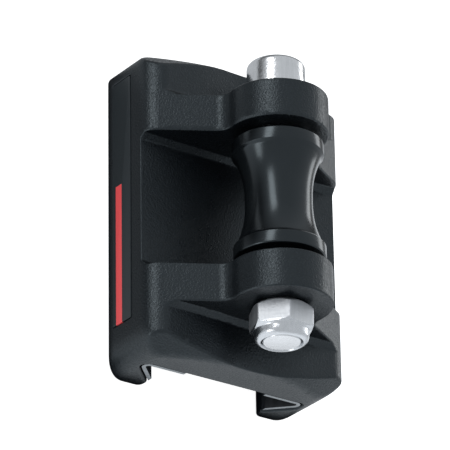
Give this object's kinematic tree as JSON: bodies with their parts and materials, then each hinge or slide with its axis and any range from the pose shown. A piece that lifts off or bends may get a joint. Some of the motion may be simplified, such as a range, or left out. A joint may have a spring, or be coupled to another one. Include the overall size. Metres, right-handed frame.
{
  "type": "mast track slide car",
  "caption": "Moulded slide car that wraps round a mast track, with two ears holding an hourglass bobbin on a through bolt.",
  "frame": {"origin": "middle of the jaws' bottom faces, under the bobbin, at the centre of the overall box", "axes": "+X along the bolt towards its nut, which is also along the track, +Z out of the track towards the bobbin, +Y across the car"},
  "size_m": [0.0688, 0.0508, 0.0416],
  "materials": {
    "body": "moulded charcoal nylon with a fine sparkle grain",
    "liner": "smooth grey low-friction liner",
    "panel": "satin dark grey panel with a plain red stripe and no lettering",
    "steel": "polished stainless steel",
    "sleeve": "turned stainless steel",
    "insert": "natural nylon ring",
    "bobbin": "glossy black turned plastic"
  },
  "bodies": {
    "car": {"car_body": "body", "slide_liner_left": "liner", "slide_liner_right": "liner", "side_panel_left": "panel", "side_panel_right": "panel", "clevis_bolt": "steel", "lock_nut": "steel", "lock_nut_insert": "insert", "spacer_sleeve": "sleeve"},
    "bobbin": {"bobbin": "bobbin"}
  },
  "joints": [
    {"name": "bobbin_spin", "type": "hinge", "parent": "car", "child": "bobbin", "pos_m": [0, 0, 0.0306], "axis": [1, 0, 0], "continuous": true}
  ]
}
